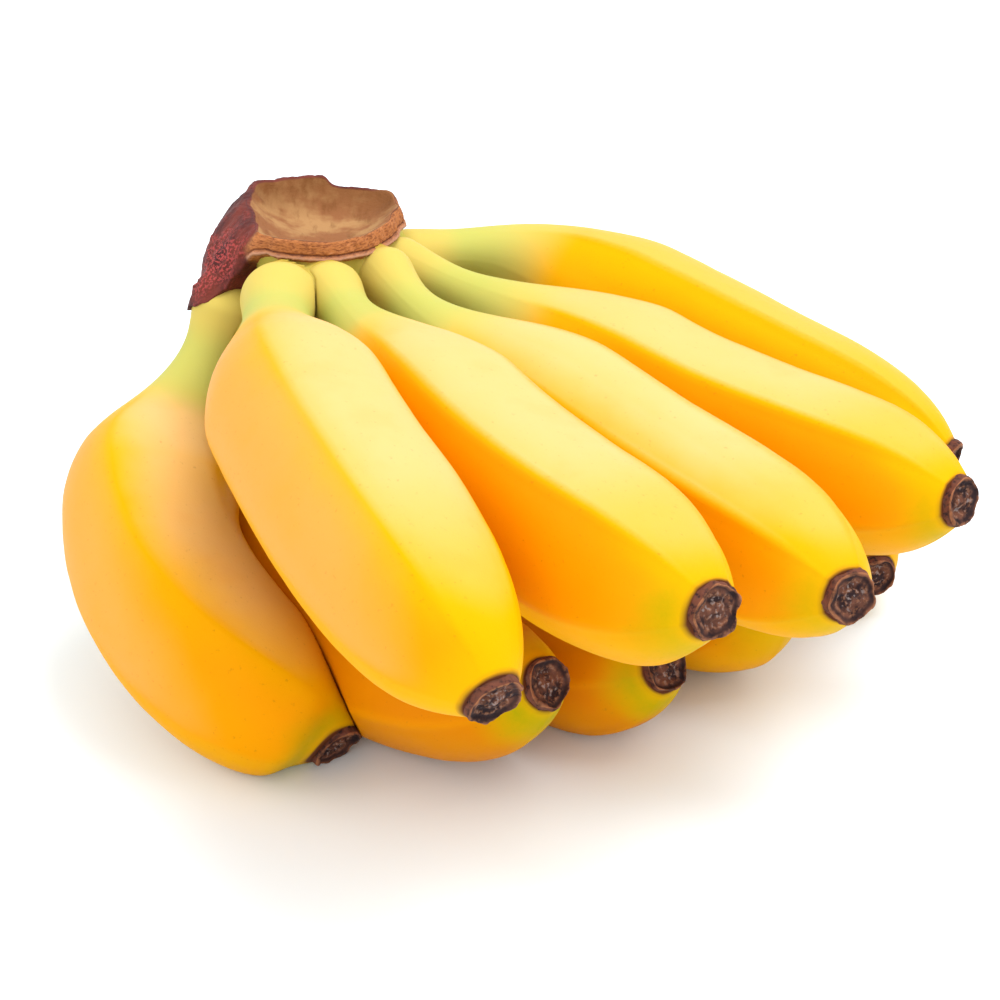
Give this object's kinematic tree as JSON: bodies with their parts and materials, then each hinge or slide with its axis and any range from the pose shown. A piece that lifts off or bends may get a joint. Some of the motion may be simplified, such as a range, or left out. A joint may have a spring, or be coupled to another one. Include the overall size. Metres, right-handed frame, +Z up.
{
  "type": "bunch of bananas",
  "caption": "Hand of short, plump ripe baby bananas joined at a dried brown crown, lying on a table with the cut face up.",
  "frame": {"origin": "on the table, under the middle of the hand's bounding box", "axes": "+Z up from the table, -Y toward the blossom ends of the front fingers, +X toward the right-hand fingers; the crown is at the back left"},
  "size_m": [0.163, 0.167, 0.0846],
  "materials": {
    "peel": "satin ripe yellow peel, green-yellow at the stalk, dark brown dried blossom end; stands in for fruit",
    "dried": "matt dried fibrous crown, tan cut face, brown rim, maroon skin end; also the dark dried blossom ends; stands in for dried plant"
  },
  "bodies": {
    "root": {"crown": "dried", "upper_finger_1": "peel", "upper_finger_2": "peel", "upper_finger_3": "peel", "upper_finger_4": "peel", "upper_finger_5": "peel", "upper_finger_6": "peel", "lower_finger_1": "peel", "lower_finger_2": "peel", "lower_finger_3": "peel", "lower_finger_4": "peel"}
  },
  "joints": []
}
